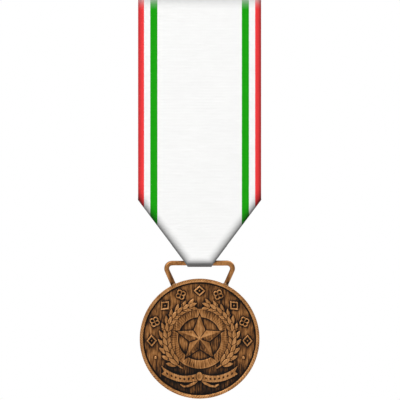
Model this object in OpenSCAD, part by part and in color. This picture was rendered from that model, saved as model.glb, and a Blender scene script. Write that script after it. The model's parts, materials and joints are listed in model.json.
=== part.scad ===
// Service medal: a struck bronze disc on a soldered wire bail, hung from a folded ribbon
// that is worn by a brooch pin sewn to its back.
// X runs across the ribbon, Y from its front to its back, and Z up.
// The origin is on the axis of the closed brooch pin, half way across the ribbon.
// All sizes are in millimetres.

/* [Ribbon] */
// Width of the woven ribbon
ribbon_w = 37; // [30:0.5:45]
// Thickness of the ribbon cloth
ribbon_t = 0.35; // [0.25:0.01:0.45]
// Height of the ribbon's top fold above the pin axis
ribbon_rise = 5; // [4.5:0.5:8]
// Drop from the pin axis to the axis of the suspension bar
bar_drop = 75; // [60:1:95]
// Half width of the folded ribbon at the height of the suspension bar
neck_half_w = 4.3; // [3.5:0.1:5.5]
// Angle between the vertical and the slanting lower edges
fold_angle = 36.9; // [30:0.1:45]
// Height above the bar over which the two layers close up
neck_h = 4; // [3:0.5:6]
// Width of the hem turned in along the slanting edges
hem_w = 3; // [2:0.25:4]
// Length of the front layer that is turned over the top onto the back
overlap_l = 10; // [9:0.5:12]
// Width of each edge stripe, from the selvedge inwards
stripe_w = [1.8, 2.0, 2.1];

/* [Bail] */
// Diameter of the bail's wire
wire_d = 1.5; // [1.2:0.05:1.9]
// Width of the bail across its outer bends
bail_w = 21.3; // [18:0.1:25]
// Inward lean of the bail's legs
leg_lean = 24; // [15:1:30]
// Radius of the bail's bends along the middle of the wire
bend_r = 1.6; // [1.4:0.1:2.2]
// Distance from the bar axis to the edge of the disc
disc_gap = 4.7; // [4:0.1:7]
// Width and height of the solder fillet at each foot
solder_w = 0.45; // [0.3:0.05:0.6]

/* [Disc] */
// Diameter of the struck disc
disc_d = 36; // [30:0.5:44]
// Thickness of the disc at its rim
disc_t = 2.6; // [2.2:0.1:3.4]
// Width of the raised rim
rim_w = 1.1; // [0.8:0.1:1.5]
// Depth of the sunken field below the rim, on each face
field_depth = 0.5; // [0.3:0.05:0.6]
// Height of the low relief above the field
relief_h = 0.4; // [0.2:0.05:0.45]
// Number of ornaments along the upper border
border_count = 9; // [5:2:11]
// Angle between neighbouring border ornaments
border_step = 23.1; // [18:0.1:26]

/* [Brooch] */
// Distance from each end of the brooch plate to the ribbon's edge
plate_inset = 2.5; // [1.5:0.5:4]
// Height of the brooch plate
plate_h = 5; // [4.5:0.5:7]
// Thickness of the brooch plate
plate_t = 0.6; // [0.5:0.1:1]
// Height of the pin axis above the plate's back face
pin_lift = 1.9; // [1.8:0.1:2.4]
// Diameter of the pin stem
pin_d = 0.9; // [0.8:0.05:1.0]
// Distance from the hinge axis to the plate's end
hinge_inset = 3; // [2.5:0.1:4]
// Distance from the middle of the catch to the plate's end
catch_inset = 4.5; // [4:0.1:6]
// Length of the catch along the pin
catch_l = 3; // [2.5:0.1:3.5]
// Outer radius of the pin's hinge eye
eye_r = 1.0; // [0.85:0.05:1.1]
// Diameter of the hinge rivet
rivet_d = 0.8; // [0.6:0.05:0.9]
// Diameter of the sewing holes in the plate
sew_hole_d = 1.6; // [1.2:0.1:2]

/* [Fits] */
// Radial clearance of the bar in the ribbon's loop
bar_play = 0.08; // [0.03:0.01:0.1]
// Radial clearance of the turning parts of the brooch
turn_play = 0.05; // [0.03:0.01:0.08]
// Side clearance between the parts of the brooch
side_play = 0.05; // [0.03:0.01:0.1]
// Thickness of the sewing thread
thread_d = 0.4; // [0.25:0.05:0.5]

/* [Hidden] */
$fn = 64;
far = 200;
sink = 0.05; // how far a shape is sunk into the one it grows from
bend_swell = 0.005; // how much a bend is thicker than the straight wire that enters it

bronze = "#b3814f";
solder_grey = "#8f7355";
gilt = "#b89a5e";
steel = "#b9bcc0";
thread_white = "#f1efe9";
buckram = "#e4ddcc";
stripe_colors = ["#d8383a", "#fbfbfb", "#209f10"];

// Ribbon stack, counted from the middle plane between its two layers
gap_half = ribbon_t;
stack_half = 2 * ribbon_t;
overlap_back = stack_half + ribbon_t;
ribbon_y = -(pin_lift + plate_t + overlap_back);
plate_face = -pin_lift;
plate_front = plate_face - plate_t;

ribbon_top = ribbon_rise;
bar_z = -bar_drop;
wire_r = wire_d / 2;
loop_in = wire_r + bar_play;
loop_out = loop_in + ribbon_t;
half_w = ribbon_w / 2;
fold_slope = tan(fold_angle);
corner_h = (half_w - neck_half_w) / fold_slope;
corner_z = bar_z + corner_h;
overlap_z = ribbon_top - overlap_l;

// Folded hem: the selvedge below the corner, seen mirrored in the slanting edge
hem_reach = hem_w / sin(fold_angle);
hem_tip = [half_w - hem_reach * sin(2 * fold_angle), corner_h - hem_reach * cos(2 * fold_angle)];
hem_in = hem_w / cos(fold_angle);
card_gap = 0.4;
card_play = 0.02;

// Bail, measured from the bar axis
turn = 90 + leg_lean;
bend_tangent = bend_r * tan(turn / 2);
bend_x = bail_w / 2 - wire_r - bend_r;
knee_x = bend_x + bend_tangent;
disc_r = disc_d / 2;
disc_drop = disc_gap + disc_r;
disc_z = bar_z - disc_drop;
leg_along = knee_x * sin(leg_lean) + disc_drop * cos(leg_lean);
foot_along = leg_along - sqrt(leg_along * leg_along - knee_x * knee_x - disc_drop * disc_drop + disc_r * disc_r);

// Disc layout
field_r = disc_r - rim_w;
border_r = field_r - 2.5;
ornament_r = 1.4;
pellet_r = 0.45;
emblem_r = field_r - 5;
ring_out = 0.76 * emblem_r;
ring_in = 0.56 * emblem_r;
star_tip = 0.61 * emblem_r;
star_notch = 0.26 * emblem_r;
wreath_r = 0.86 * emblem_r;
leaf_l = 0.3 * emblem_r;
leaf_w = 0.12 * emblem_r;
leaf_pairs = 7;
scroll_r = 1.1 * emblem_r;
scroll_w = 1.9;

// Brooch layout
plate_l = ribbon_w - 2 * plate_inset;
hinge_x = hinge_inset - plate_l / 2;
catch_x = plate_l / 2 - catch_inset;
sew_pitch = (catch_x - hinge_x) / 4;
pin_r = pin_d / 2;
rivet_r = rivet_d / 2;
eye_half = pin_r + 0.45;
ear_in = eye_half + side_play;
ear_t = 0.5;
ear_r = eye_r + 0.05;
rivet_head = 0.3;
base_t = 0.25;
web_t = 0.4;
web_gap = 0.2;
point_r = pin_r - 0.05;
point_l = 2;
shoulder_l = 0.5;
roller_in = point_r + 0.1;
roller_out = roller_in + 0.6;
collar_r = pin_lift - base_t - 0.15;
cheek_in = roller_out + turn_play;
cheek_r = cheek_in + 0.4;
cheek_t = 0.25 * catch_l;
catch_turn = 40; // where the lever stands, from +Y towards +Z
lever_r = 2.8;
lever_t = 0.5;
thread_r = thread_d / 2;

// Moves a flat drawing of a face of the disc, or of the bail, into the XZ plane
module upright() rotate([90, 0, 0]) children();

// Extrudes a drawing whose first axis is Y and whose second is Z, evenly to both sides of X
module across(w) rotate([90, 0, 90]) linear_extrude(w, center = true) children();

// Extrudes a drawing whose first axis is X and whose second is Z, from y0 to y1
module through(y0, y1) translate([0, y1, 0]) upright() linear_extrude(y1 - y0) children();

module both_sides() {
    children();
    mirror([1, 0, 0]) children();
}

// ---- Disc and bail ----

module disc_edge(r, t) rotate([90, 0, 0]) cylinder(h = t, r = r, center = true);

module ring_2d(r_out, r_in) difference() {
    circle(r_out);
    circle(r_in);
}

module leaf_2d(l, w) {
    r = (l * l + w * w) / (4 * w);
    intersection() {
        translate([0, r - w / 2]) circle(r);
        translate([0, w / 2 - r]) circle(r);
    }
}

module star_facets(r_tip, r_notch, h) {
    points = [for (i = [0:9]) let (r = i % 2 == 0 ? r_tip : r_notch, a = 90 + 36 * i)
        [r * cos(a), r * sin(a), 0]];
    polyhedron(
        points = concat(points, [[0, 0, h]]),
        faces = concat([[for (i = [0:9]) i]], [for (i = [0:9]) [(i + 1) % 10, i, 10]])
    );
}

module lozenge_2d(r) difference() {
    circle(r, $fn = 4);
    circle(0.6 * r, $fn = 4);
}

module quatrefoil_2d(r) {
    for (a = [0:90:270]) rotate(a) translate([0.6 * r, 0]) circle(0.36 * r);
    circle(0.28 * r);
}

module border_2d() {
    last = (border_count - 1) / 2;
    for (i = [-last:last]) rotate(i * border_step) translate([0, border_r])
        if (i % 2 == 0) lozenge_2d(ornament_r); else quatrefoil_2d(ornament_r);
    for (side = [-1, 1]) rotate(side * (last + 0.9) * border_step) translate([0, border_r]) circle(pellet_r);
}

module branch_2d() {
    for (i = [0:leaf_pairs - 1], side = [-1, 1])
        rotate(-50 + i * 18) translate([wreath_r + side * 0.5 * leaf_w, 0])
            rotate(90 - side * 22) leaf_2d(leaf_l, leaf_w);
}

module scroll_2d() intersection() {
    translate([0, scroll_w - 0.5 * scroll_r]) ring_2d(1.45 * scroll_r + scroll_w / 2, 1.45 * scroll_r - scroll_w / 2);
    polygon([[0, 0], [-scroll_r, -1.35 * scroll_r], [scroll_r, -1.35 * scroll_r]]);
}

// Relief of one face, standing on the field at height zero
module obverse_relief() {
    linear_extrude(relief_h) border_2d();
    linear_extrude(0.7 * relief_h) ring_2d(ring_out, ring_in);
    linear_extrude(relief_h) both_sides() branch_2d();
    star_facets(star_tip, star_notch, field_depth);
}

module reverse_relief() {
    linear_extrude(relief_h) both_sides() branch_2d();
    linear_extrude(0.7 * relief_h) square([1.1 * emblem_r, 0.5 * emblem_r], center = true);
}

module medal_disc() color(bronze) translate([0, ribbon_y, disc_z]) {
    difference() {
        disc_edge(disc_r, disc_t);
        for (side = [-1, 1]) translate([0, side * disc_t / 2, 0]) disc_edge(field_r, 2 * field_depth);
    }
    floor_y = disc_t / 2 - field_depth - sink;
    upright() translate([0, 0, floor_y]) obverse_relief();
    rotate([0, 0, 180]) upright() translate([0, 0, floor_y]) reverse_relief();
}

module leg_axis() translate([knee_x, 0, 0]) rotate([0, 180 + leg_lean, 0]) children();

module bail_leg() difference() {
    leg_axis() translate([0, 0, bend_tangent - sink])
        cylinder(h = foot_along + wire_r - bend_tangent + sink, r = wire_r);
    translate([0, 0, -disc_drop]) disc_edge(disc_r, far);
}

module bail_bend() translate([bend_x, 0, -bend_r]) upright() rotate(-leg_lean)
    rotate_extrude(angle = turn) translate([bend_r, 0]) circle(wire_r + bend_swell);

module suspension_bail() color(bronze) translate([0, ribbon_y, bar_z]) {
    rotate([0, 90, 0]) cylinder(h = 2 * (bend_x + sink), r = wire_r, center = true);
    both_sides() {
        bail_bend();
        bail_leg();
    }
}

module bail_solder() color(solder_grey) translate([0, ribbon_y, bar_z]) both_sides() difference() {
    $fn = 144;
    leg_axis() translate([0, 0, foot_along - 2 * solder_w])
        cylinder(h = 4 * solder_w, r1 = wire_r + 0.02, r2 = wire_r + 2 * solder_w);
    leg_axis() cylinder(h = far, r = wire_r);
    translate([0, 0, -disc_drop]) disc_edge(disc_r, far);
}

// ---- Ribbon ----

// Section of the loop and the two layers above it: a circle of radius r that closes up to
// half the thickness h at the top of the neck, then runs straight up to the height top.
// The closing sides enter the circle just inside its edge, so that they cross it cleanly.
module keyhole_2d(r, h, top) {
    d = norm([h, neck_h]);
    a = atan2(neck_h, h) - acos(r / d);
    enter = 0.998 * r * [cos(a), sin(a)];
    circle(r);
    polygon([[-h, top], [h, top], [h, neck_h], enter, [-enter[0], enter[1]], [-h, neck_h]]);
}

// Section of the whole strip, with the front layer turned over the top onto the back one.
// Y is its first axis, from the middle of the stack, and Z its second.
module ribbon_section_2d() {
    fold_r = (stack_half + overlap_back) / 2;
    fold_z = ribbon_top - fold_r;
    difference() {
        union() {
            translate([0, bar_z]) keyhole_2d(loop_out, stack_half, fold_z - bar_z);
            translate([0, overlap_z]) square([overlap_back, fold_z - overlap_z]);
            translate([overlap_back - fold_r, fold_z]) circle(fold_r);
        }
        translate([0, bar_z]) keyhole_2d(loop_in, gap_half, fold_z - bar_z);
        intersection() {
            translate([overlap_back - fold_r, fold_z]) circle(fold_r - ribbon_t);
            translate([-far / 2, fold_z]) square(far);
        }
    }
}

function edge_x(h) = neck_half_w + h * fold_slope;

module outline_2d() polygon([
    [-half_w, ribbon_top + 1], [half_w, ribbon_top + 1], [half_w, corner_z],
    [edge_x(-2 * loop_out), bar_z - 2 * loop_out], [-edge_x(-2 * loop_out), bar_z - 2 * loop_out], [-half_w, corner_z]
]);

// The turned-in hem of one slanting edge, drawn past that edge, where the outline cuts it
module hem_2d() translate([0, bar_z]) polygon([
    [edge_x(neck_h) + hem_w, neck_h], [edge_x(neck_h) - hem_in, neck_h], hem_tip,
    2 * [half_w, corner_h] - hem_tip
]);

module ribbon_cloth() intersection() {
    union() {
        across(ribbon_w + 2) ribbon_section_2d();
        both_sides() through(-gap_half - sink, gap_half + sink) hem_2d();
    }
    through(-far / 2, far / 2) outline_2d();
}

// A slab of the cloth between two distances from the middle of the ribbon
module band(x0, x1) intersection() {
    ribbon_cloth();
    translate([x0, -far / 2, -far]) cube([x1 - x0, far, 2 * far]);
}

module ribbon() translate([0, ribbon_y, 0]) {
    inner = half_w - stripe_w[0] - stripe_w[1] - stripe_w[2];
    color(stripe_colors[1]) band(-inner, inner);
    for (i = [0:2]) {
        outside = half_w - (i > 0 ? stripe_w[0] : 0) - (i > 1 ? stripe_w[1] : 0);
        color(stripe_colors[i]) both_sides() band(outside - stripe_w[i], outside);
    }
}

module ribbon_stiffener() color(buckram) translate([0, ribbon_y, 0]) {
    side = half_w - 2 * card_gap;
    low = neck_h + 1;
    tip = hem_tip - [card_gap / cos(fold_angle), 0];
    low_x = edge_x(low) - hem_in - card_gap / cos(fold_angle);
    right = [[side, corner_h + card_gap], tip, [low_x, low]];
    through(card_play - gap_half, gap_half - card_play) translate([0, bar_z]) polygon(concat(
        [[-side, ribbon_top + bar_drop - 4 * ribbon_t], [side, ribbon_top + bar_drop - 4 * ribbon_t]],
        right, [for (i = [2:-1:0]) [-right[i][0], right[i][1]]]
    ));
}

// ---- Brooch ----

module slot_2d(l, h) {
    square([l - h, h], center = true);
    for (side = [-1, 1]) translate([side * (l - h) / 2, 0]) circle(h / 2);
}

module sew_places() for (k = [1:3]) translate([hinge_x + k * sew_pitch, 0]) children();

module brooch_plate() color(gilt) through(plate_front, plate_face) difference() {
    slot_2d(plate_l, plate_h);
    sew_places() circle(sew_hole_d / 2);
}

module hinge_bracket() color(gilt) translate([hinge_x, 0, 0]) {
    back_x = -ear_r - web_gap - web_t;
    difference() {
        for (side = [-1, 1]) translate([0, 0, side * (ear_in + ear_t / 2)]) linear_extrude(ear_t, center = true) {
            circle(ear_r);
            translate([back_x, plate_face]) square([ear_r - back_x, base_t]);
            translate([back_x, plate_face]) square([web_t + web_gap + ear_r, pin_lift]);
            translate([-ear_r, plate_face]) square([2 * ear_r, pin_lift]);
        }
        cylinder(h = far, r = rivet_r, center = true);
    }
    translate([back_x, plate_face, -ear_in - sink]) cube([ear_r - back_x, base_t, 2 * (ear_in + sink)]);
    translate([back_x, plate_face, -ear_in - sink]) cube([web_t, pin_lift + pin_r, 2 * (ear_in + sink)]);
}

module hinge_rivet() color(steel) translate([hinge_x, 0, 0]) {
    cylinder(h = 2 * (ear_in + ear_t + sink), r = rivet_r, center = true);
    for (side = [-1, 1]) translate([0, 0, side * (ear_in + ear_t + rivet_head / 2)])
        cylinder(h = rivet_head, r = rivet_r + 0.3, center = true);
}

module pin_stem() color(steel) {
    start = catch_x - catch_l / 2 - shoulder_l - 0.5;
    translate([hinge_x, 0, 0]) difference() {
        union() {
            cylinder(h = 2 * eye_half, r = eye_r, center = true);
            rotate([0, 90, 0]) cylinder(h = start - hinge_x, r = pin_r);
        }
        cylinder(h = far, r = rivet_r + turn_play, center = true);
    }
    translate([start, 0, 0]) rotate([0, 90, 0]) cylinder(h = shoulder_l, r1 = pin_r, r2 = point_r);
    translate([start + shoulder_l, 0, 0]) rotate([0, 90, 0]) cylinder(h = catch_l + 0.7, r = point_r);
    translate([start + shoulder_l + catch_l + 0.7, 0, 0]) rotate([0, 90, 0])
        cylinder(h = point_l, r1 = point_r, r2 = 0.06);
}

module catch_housing() color(gilt) translate([catch_x, 0, 0]) difference() {
    union() {
        for (side = [-1, 1]) translate([side * (catch_l - cheek_t) / 2, 0, 0]) across(cheek_t) {
            circle(cheek_r);
            translate([plate_face, -cheek_r]) square([pin_lift, 2 * cheek_r]);
        }
        across(catch_l) translate([plate_face, -cheek_r]) square([base_t, 2 * cheek_r]);
    }
    across(far) circle(cheek_in);
    across(far) translate([0, -roller_in - turn_play]) square([far, 2 * (roller_in + turn_play)]);
}

module catch_roller() color(steel) translate([catch_x, 0, 0]) difference() {
    union() {
        across(catch_l) circle(roller_out);
        across(catch_l - 2 * cheek_t - 2 * side_play) {
            circle(collar_r);
            rotate(catch_turn) translate([0, -lever_t / 2]) square([lever_r, lever_t]);
            rotate(catch_turn) translate([lever_r, 0]) circle(lever_t / 2);
        }
    }
    across(far) circle(roller_in);
    across(far) translate([0, -roller_in]) square([far, 2 * roller_in]);
}

// ---- Sewing ----

// A staple of thread over the plate's edge: one leg in a sewing hole, one leg past the edge.
// Drawn with Z as its first axis and Y, from the ribbon's back, as its second.
module staple_2d() {
    reach = plate_h / 2 + thread_d;
    difference() {
        translate([-thread_r, 0]) square([reach + thread_d, plate_t + thread_d]);
        translate([thread_r, 0]) square([reach - thread_d, plate_t]);
    }
}

module brooch_stitches() color(thread_white) translate([0, plate_front, 0])
    for (k = [1:3], strand = [-1:1], side = [0, 1])
        translate([hinge_x + k * sew_pitch + strand * 1.1 * thread_d, 0, 0]) mirror([0, 0, side])
            translate([0, 0, thread_r + 0.05]) rotate([90, 0, 90]) mirror([1, -1, 0])
                linear_extrude(thread_d, center = true) staple_2d();

// A short stitch lying on the ribbon's back face, sloping by angle a
module stitch(l, a) rotate([0, a, 0]) difference() {
    rotate([0, 90, 0]) cylinder(h = l, r = thread_r, center = true);
    translate([-far / 2, -far, -far / 2]) cube([far, far, far]);
}

module overlap_stitches() color(thread_white) {
    count = floor((ribbon_w - 4) / 2.5);
    for (i = [0:count]) translate([(i - count / 2) * 2.5, ribbon_y + overlap_back, overlap_z + 0.7])
        stitch(1.5, 35);
}

module edge_stitches() color(thread_white) {
    first = neck_h + 3;
    count = floor((corner_h - first - 1) / 2.2);
    both_sides() for (i = [0:count]) {
        h = first + 2.2 * i;
        translate([edge_x(h) - 1.6, ribbon_y + stack_half, bar_z + h]) stitch(1.4, 0);
    }
}

medal_disc();
suspension_bail();
bail_solder();
ribbon();
ribbon_stiffener();
brooch_plate();
hinge_bracket();
hinge_rivet();
pin_stem();
catch_housing();
catch_roller();
brooch_stitches();
overlap_stitches();
edge_stitches();
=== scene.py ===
"""Looks of a service medal: a struck bronze disc on a wire bail, its folded ribbon and its brooch.

Pieces are worked out in millimetres, in the frame's own axes, and become metres in mesh_object().
The lights and the camera are in metres.
"""
import json
import math

import bmesh
import bpy
import numpy as np
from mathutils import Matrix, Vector


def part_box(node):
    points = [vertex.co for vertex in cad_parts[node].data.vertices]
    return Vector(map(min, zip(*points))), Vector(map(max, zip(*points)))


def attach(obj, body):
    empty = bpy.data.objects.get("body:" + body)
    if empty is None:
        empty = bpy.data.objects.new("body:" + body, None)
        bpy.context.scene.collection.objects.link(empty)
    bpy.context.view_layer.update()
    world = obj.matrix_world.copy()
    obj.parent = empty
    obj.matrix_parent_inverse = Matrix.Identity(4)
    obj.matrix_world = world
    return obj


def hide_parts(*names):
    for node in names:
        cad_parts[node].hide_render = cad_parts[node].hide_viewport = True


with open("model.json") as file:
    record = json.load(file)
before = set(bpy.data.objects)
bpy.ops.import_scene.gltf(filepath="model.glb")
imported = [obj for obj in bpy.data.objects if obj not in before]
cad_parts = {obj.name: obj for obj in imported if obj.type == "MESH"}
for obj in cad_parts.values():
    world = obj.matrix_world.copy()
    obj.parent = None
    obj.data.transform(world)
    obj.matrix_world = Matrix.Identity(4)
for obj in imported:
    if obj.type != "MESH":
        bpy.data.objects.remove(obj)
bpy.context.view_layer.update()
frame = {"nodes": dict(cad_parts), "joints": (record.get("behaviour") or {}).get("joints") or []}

MM = 0.001
TURN = 2 * math.pi


def in_mm(metres):
    return round(metres / MM, 2)


# Places that the pieces share: the bail's bar, which the ribbon is folded round, and the disc
bar = next(joint["pos_m"] for joint in frame["joints"] if joint["name"] == "medal_swing")
disc_low, disc_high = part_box("medal_disc")
RIBBON_Y, BAR_Z = in_mm(bar[1]), in_mm(bar[2])
DISC_Z = in_mm((disc_low.z + disc_high.z) / 2)
DISC_R = in_mm((disc_high.z - disc_low.z) / 2)
WIRE_R = 0.75


# ---------------------------------------------------------------- finishes


class Tone:
    """A number or a colour that changes over a surface. Arithmetic on it adds Math nodes."""

    def __init__(self, finish, socket):
        self.finish, self.socket = finish, socket

    def worked(self, operation, *terms):
        """What one Math node makes of these terms."""
        return self.finish.node("Math", {"operation": operation}, dict(enumerate(terms)))

    def __add__(self, other):
        return self.worked("ADD", self, other)

    def __sub__(self, other):
        return self.worked("SUBTRACT", self, other)

    def __rsub__(self, other):
        return self.worked("SUBTRACT", other, self)

    def __mul__(self, other):
        return self.worked("MULTIPLY", self, other)

    def __abs__(self):
        return self.worked("ABSOLUTE", self)

    def sine(self):
        return self.worked("SINE", self)

    __radd__ = __add__
    __rmul__ = __mul__


class Nodes:
    """Adds nodes to one tree."""

    def __init__(self, tree):
        self.tree = tree

    def node(self, kind, settings=None, sockets=None, output=0):
        """A node with its settings, such as a ramp's stops, and its sockets' values or links."""
        made = self.tree.nodes.new("ShaderNode" + kind)
        for name, value in (settings or {}).items():
            if name == "stops":
                ramp = made.color_ramp.elements
                while len(ramp) < len(value):
                    ramp.new(1.0)
                for stop, (place, colour) in zip(ramp, value):
                    stop.position, stop.color = place, (*colour, 1.0)
            else:
                setattr(made, name, value)
        for name, value in (sockets or {}).items():
            if isinstance(value, Tone):
                self.tree.links.new(value.socket, made.inputs[name])
            else:
                made.inputs[name].default_value = value
        return Tone(self, made.outputs[output]) if len(made.outputs) else None

    def split(self, vector):
        """The x, y and z of a vector."""
        parts = self.node("SeparateXYZ", None, {0: vector})
        return [Tone(self, part) for part in parts.socket.node.outputs]


# The numbers of the Mix node's sockets for colours
MIX_FIRST, MIX_SECOND, MIX_RESULT = 6, 7, 2


class Finish(Nodes):
    """A material, with the few patterns that the medal's finishes are made of."""

    def __init__(self, name):
        self.material = bpy.data.materials.new(name)
        self.material.use_nodes = True
        super().__init__(self.material.node_tree)
        self.shader = self.tree.nodes["Principled BSDF"]

    def surface(self, **sockets):
        """Sets the shader's sockets. Their names are written with _ for a space."""
        for name, value in sockets.items():
            socket = self.shader.inputs[name.replace("_", " ")]
            if isinstance(value, Tone):
                self.tree.links.new(value.socket, socket)
            else:
                socket.default_value = value
        return self

    def place(self, stretch=(1, 1, 1)):
        """The point on the piece in millimetres, each axis multiplied by its stretch."""
        point = self.node("TexCoord", output="Object")
        scale = tuple(s / MM for s in stretch)
        return self.node("VectorMath", {"operation": "MULTIPLY"}, {0: point, 1: scale})

    def noise(self, size, detail=3.0, roughness=0.55, stretch=(1, 1, 1)):
        """Cloudy noise from 0 to 1 whose patches are about size millimetres wide."""
        sockets = {"Vector": self.place(stretch), "Scale": 1 / size, "Detail": detail}
        return self.node("TexNoise", None, sockets | {"Roughness": roughness})

    def kept(self, name):
        """A number that the piece keeps for each of its points."""
        return self.node("Attribute", {"attribute_name": name}, output="Fac")

    def eased(self, tone, low, high, start=0.0, end=1.0):
        """start where the tone is at low and end where it is at high, with a soft passage."""
        return self.node(
            "MapRange",
            {"interpolation_type": "SMOOTHSTEP"},
            {"Value": tone, "From Min": low, "From Max": high, "To Min": start, "To Max": end},
        )

    def mixed(self, factor, first, second, blend="MIX"):
        """The second colour over the first."""
        sockets = {0: factor}
        for number, colour in ((MIX_FIRST, first), (MIX_SECOND, second)):
            sockets[number] = colour if isinstance(colour, Tone) else (*colour, 1.0)
        return self.node("Mix", {"data_type": "RGBA", "blend_type": blend}, sockets, MIX_RESULT)

    def ramp(self, tone, stops):
        """The colour that the stops give for the tone."""
        return self.node("ValToRGB", {"stops": stops}, {"Fac": tone})

    def bump(self, height, depth):
        """A normal from a height of 0 to 1 that stands for depth millimetres."""
        sockets = {"Strength": 1.0, "Distance": depth * MM, "Height": height}
        return self.node("Bump", None, sockets, output="Normal")


# The bronze, from the black in its deepest lines to its rubbed high parts
BRONZE_STOPS = [
    (0.00, (0.003, 0.0015, 0.0005)),
    (0.22, (0.040, 0.015, 0.004)),
    (0.45, (0.210, 0.085, 0.024)),
    (0.68, (0.400, 0.180, 0.058)),
    (0.95, (0.620, 0.320, 0.130)),
]


def struck_bronze():
    """Bronze darkened by patina in the hollows of the relief and by painted shade, and rubbed bright on
    top of it.
    """
    f = Finish("struck_bronze")
    streaks = f.noise(0.42, detail=4.0, roughness=0.65, stretch=(1, 1, 0.13))
    clouds = f.noise(3.5, detail=3.0)
    grains = f.noise(0.16, detail=2.0)
    # Patina and painted shade darken the relief's recesses, the lower field and the star's downward
    # facets.
    hollow, relief = f.kept("hollow"), f.kept("relief")
    # relief is the height less the painted shade on the star's downward facets, so those facets come
    # out darker.
    raised = f.eased(relief, 0.05, 0.5)
    tone = 0.46 + 0.20 * raised + 1.5 * (streaks - 0.5) * (1 - 0.62 * raised)
    tone = tone + 0.6 * (clouds - 0.5) + 0.2 * (grains - 0.5) - 1.4 * hollow
    return f.surface(
        Base_Color=f.ramp(tone, BRONZE_STOPS),
        Metallic=f.eased(tone, 0.1, 0.6, start=0.3, end=0.62),
        Roughness=f.eased(tone, 0.2, 0.8, start=0.66, end=0.4),
        Specular_IOR_Level=0.2,
        Normal=f.bump(streaks + 0.35 * grains, depth=0.05),
    )


def drawn_bronze():
    """Bronze wire with the drawing marks along it."""
    f = Finish("drawn_bronze")
    marks = f.noise(0.5, detail=4.0, roughness=0.65, stretch=(1, 1, 0.3))
    clouds = f.noise(2.4, detail=3.0)
    tone = 0.60 + 0.55 * (marks - 0.5) + 0.35 * (clouds - 0.5) - f.kept("hollow")
    return f.surface(
        Base_Color=f.ramp(tone, BRONZE_STOPS),
        Metallic=0.7,
        Roughness=f.eased(tone, 0.2, 0.8, start=0.6, end=0.38),
        Specular_IOR_Level=0.2,
        Normal=f.bump(marks, depth=0.03),
    )


def solder():
    """Solder that is darker than the bronze beside it, with pits."""
    f = Finish("solder")
    clouds, pits = f.noise(0.9, detail=3.0), f.noise(0.2, detail=2.0)
    return f.surface(
        Base_Color=f.mixed(clouds, (0.10, 0.052, 0.024), (0.30, 0.17, 0.085)),
        Metallic=0.8,
        Roughness=f.eased(clouds, 0.3, 0.7, start=0.36, end=0.55),
        Normal=f.bump(clouds + 0.3 * pits, depth=0.04),
    )


def plated(name, deep, main, worn, gloss):
    """A plated or polished metal whose eased edges are rubbed to the colour worn."""
    f = Finish(name)
    brush = f.noise(0.35, detail=4.0, roughness=0.6, stretch=(0.12, 1, 1))
    clouds = f.noise(2.2, detail=4.0)
    colour = f.mixed(f.eased(clouds, 0.35, 0.7), deep, main)
    edge = f.eased(f.kept("edge") + 0.5 * (clouds - 0.5), 0.2, 0.8)
    return f.surface(
        Base_Color=f.mixed(edge, colour, worn),
        Metallic=0.96,
        Roughness=gloss + 0.22 * (brush - 0.5) + 0.16 * (clouds - 0.5) - 0.06 * edge,
        Normal=f.bump(brush, depth=0.012),
    )


# Stripes of the ribbon, as distances from its middle in millimetres
GREEN_FROM, WHITE_FROM, RED_FROM, SELVEDGE = 12.69, 14.83, 16.7, 18.5
WHITE, GREEN, RED = (0.835, 0.835, 0.83), (0.006, 0.31, 0.001), (0.80, 0.040, 0.044)
# The grey that the painted shade and sheen at the top fold mixes towards.
TOP_FOLD_GREY = (0.44, 0.44, 0.44)
STRIPE_BLUR = 0.05  # half the width over which one stripe passes into the next
RIB_PITCH, WARP_PITCH, BUCKRAM_PITCH = 0.46, 0.23, 0.7


def ribbon_silk():
    """Ribbed silk: a white ground, and a green, a white and a red stripe towards each edge."""
    f = Finish("ribbon_silk")
    wander = f.noise(0.5, detail=2.0) - 0.5
    across, along = abs(f.kept("across")), f.kept("along")
    place = across + 0.07 * wander

    def beyond(edge):
        return f.eased(place, edge - STRIPE_BLUR, edge + STRIPE_BLUR)

    colour = f.mixed(beyond(GREEN_FROM), WHITE, GREEN)
    colour = f.mixed(beyond(WHITE_FROM), colour, WHITE)
    colour = f.mixed(beyond(RED_FROM), colour, RED)
    rib = 0.5 + 0.5 * ((along + 0.02 * wander) * (TURN / RIB_PITCH)).sine()
    warp = 0.5 + 0.5 * (across * (TURN / WARP_PITCH)).sine()
    slub = f.noise(1.6, detail=3.0, roughness=0.6, stretch=(0.25, 1, 1))
    worn = f.eased(place, RED_FROM + 0.2, SELVEDGE + 0.1)
    # Painted shade along the folded edges of the hems and above the loop darkens the colour.
    shade = f.kept("crease")
    light = (1 - 0.86 * shade) * (0.975 + 0.025 * rib) * (0.97 + 0.05 * slub) * (1 - 0.45 * worn)
    grey = f.node("CombineColor", None, {0: light, 1: light, 2: light})
    edge_cord = f.eased(place, SELVEDGE - 0.35, SELVEDGE - 0.1)
    # Painted shade and sheen at the top fold: the colour is mixed towards grey.
    colour = f.mixed(f.kept("faded"), colour, TOP_FOLD_GREY)
    return f.surface(
        Base_Color=f.mixed(1.0, colour, grey, "MULTIPLY"),
        Roughness=f.eased(rib, 0.0, 1.0, start=0.62, end=0.5),
        Sheen_Weight=0.04,
        Sheen_Roughness=0.4,
        Specular_IOR_Level=0.08,
        Normal=f.bump(0.75 * rib + 0.25 * warp + 0.6 * edge_cord, depth=0.045),
    )


def buckram():
    """Stiff unbleached cloth in an open plain weave."""
    f = Finish("buckram")
    x, _, z = f.split(f.place((math.pi / BUCKRAM_PITCH, 0, math.pi / BUCKRAM_PITCH)))
    weave, clouds = 0.5 + 0.5 * x.sine() * z.sine(), f.noise(2.0)
    return f.surface(
        Base_Color=f.mixed(weave, (0.52, 0.46, 0.36), (0.80, 0.76, 0.66)),
        Roughness=f.eased(clouds, 0.2, 0.8, start=0.8, end=0.95),
        Normal=f.bump(weave + 0.3 * clouds, depth=0.12),
    )


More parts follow.
